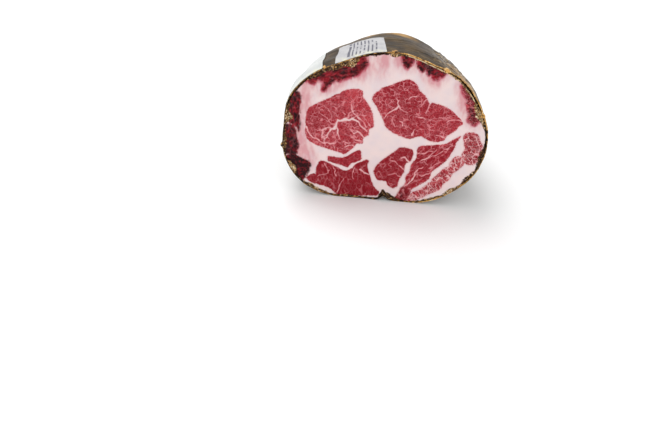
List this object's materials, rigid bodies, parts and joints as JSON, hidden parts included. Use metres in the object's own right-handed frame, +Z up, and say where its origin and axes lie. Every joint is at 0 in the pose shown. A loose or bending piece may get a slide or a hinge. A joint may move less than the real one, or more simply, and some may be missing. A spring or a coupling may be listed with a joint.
{
  "type": "coppa",
  "caption": "Half a cured pork neck, cut face showing lean and fat, in a gathered wrapper with two paper labels.",
  "frame": {"origin": "middle of the underside of the whole's bounding box, on the surface it lies on", "axes": "+Z up, the cut face looks towards -Y, the gathered end of the wrapper points towards +Y, +X to the right when facing the cut"},
  "size_m": [0.1304, 0.1302, 0.104],
  "materials": {
    "cured_meat": "moist cut meat: crimson lean with white fat, darker at the rim",
    "wrapper_film": "wrinkled olive-brown wrapper with golden edges, semi-gloss",
    "label_paper": "white paper, slightly glossy"
  },
  "bodies": {
    "root": {"meat": "cured_meat", "wrapper": "wrapper_film", "label_printed": "label_paper", "label_plain": "label_paper"}
  },
  "joints": []
}
